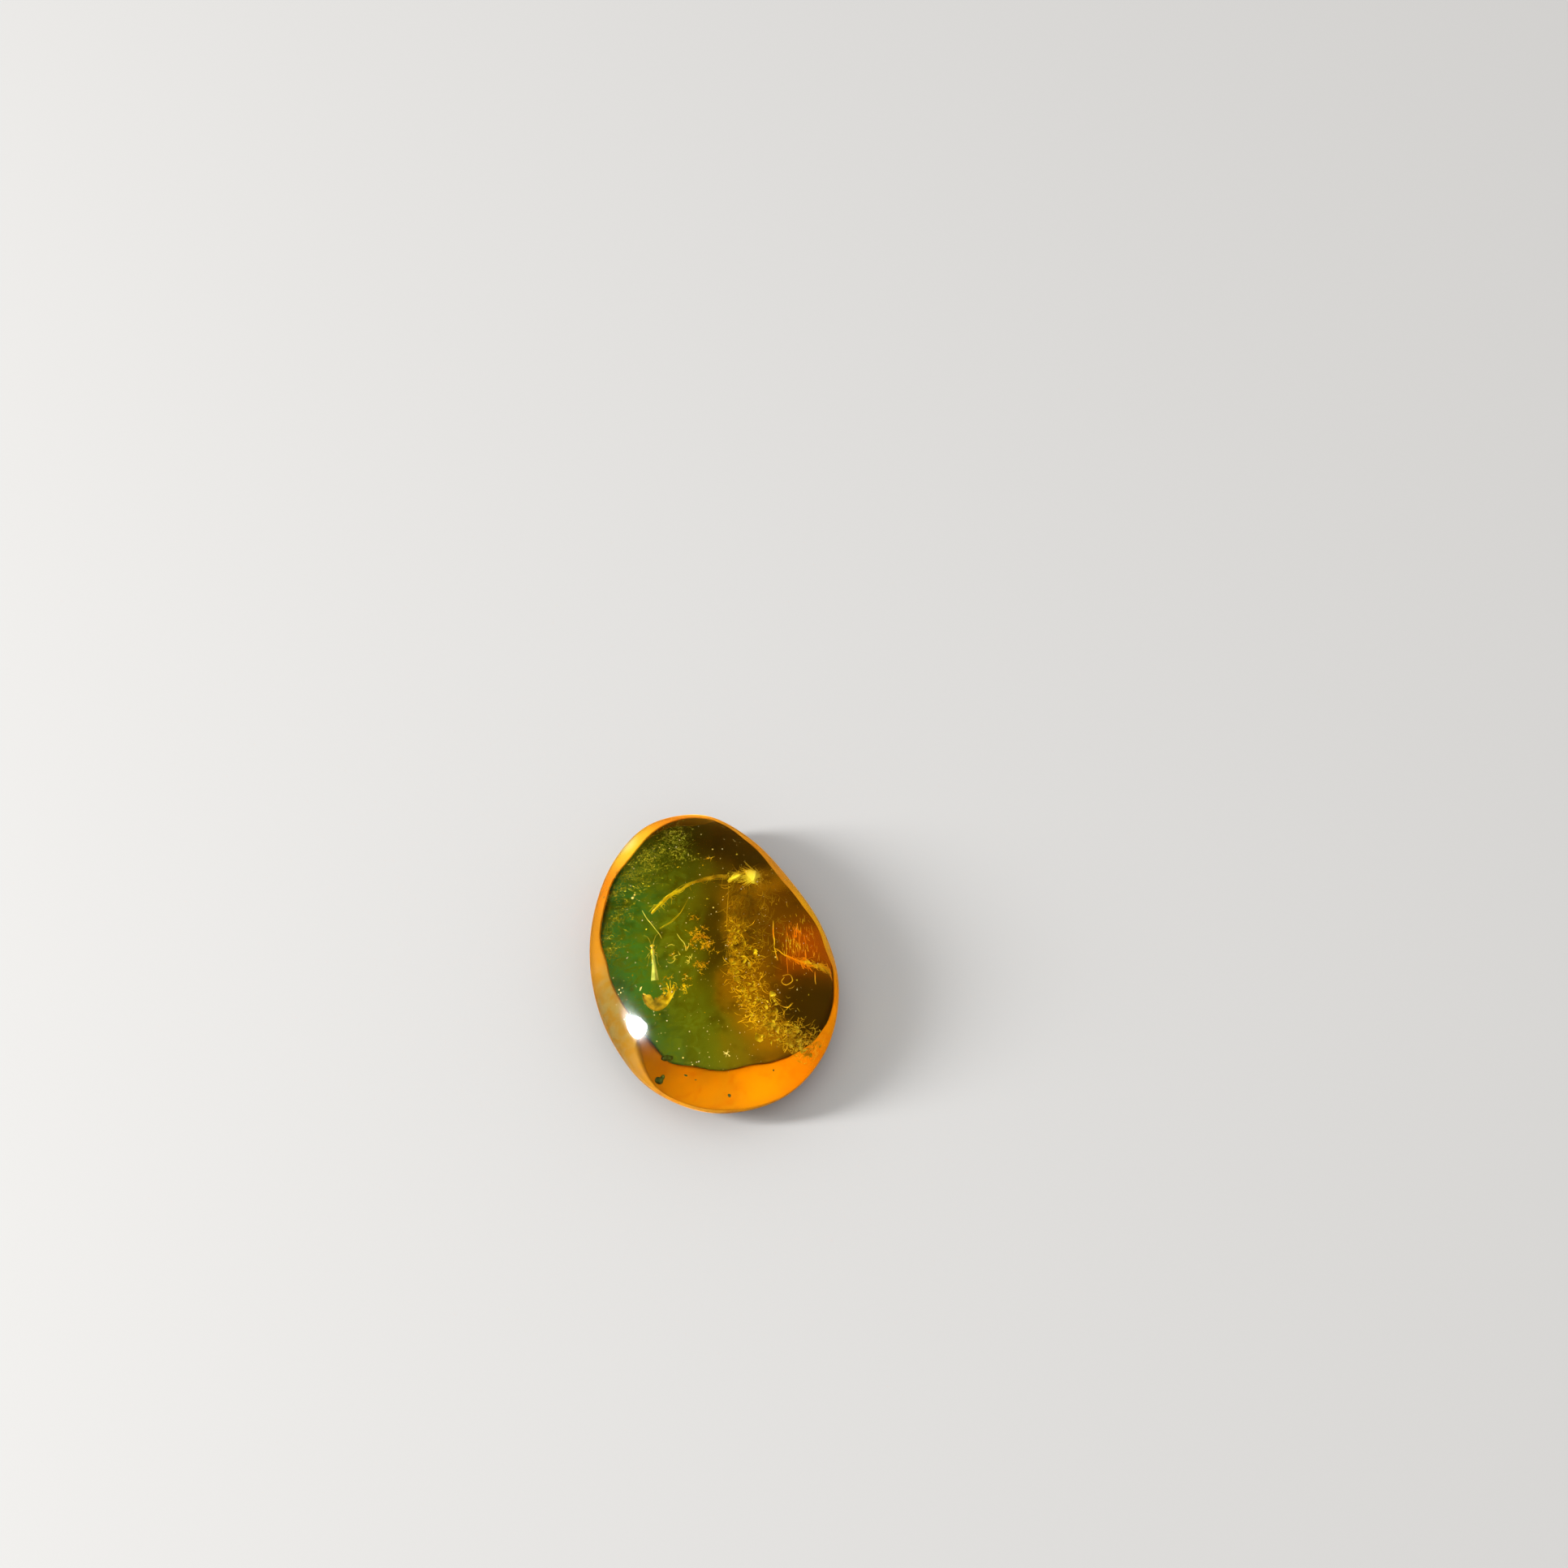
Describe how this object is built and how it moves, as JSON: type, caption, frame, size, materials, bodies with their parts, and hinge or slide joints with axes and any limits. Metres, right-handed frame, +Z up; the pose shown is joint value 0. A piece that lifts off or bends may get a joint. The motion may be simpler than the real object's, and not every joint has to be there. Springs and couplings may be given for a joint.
{
  "type": "insect in amber",
  "caption": "Polished oval amber pebble with a low dome and a flat resting face, holding a small insect and plant debris sealed inside.",
  "frame": {"origin": "on the flat resting face, under the middle of the stone's bounding box", "axes": "+Z up from the resting face, through the low dome; +Y along the stone's length, towards its narrow end; +X towards the side with the rubbed facet"},
  "size_m": [0.0154, 0.021, 0.006],
  "materials": {
    "amber": "polished, see-through amber resin"
  },
  "bodies": {
    "root": {"amber_pebble": "amber"}
  },
  "joints": []
}
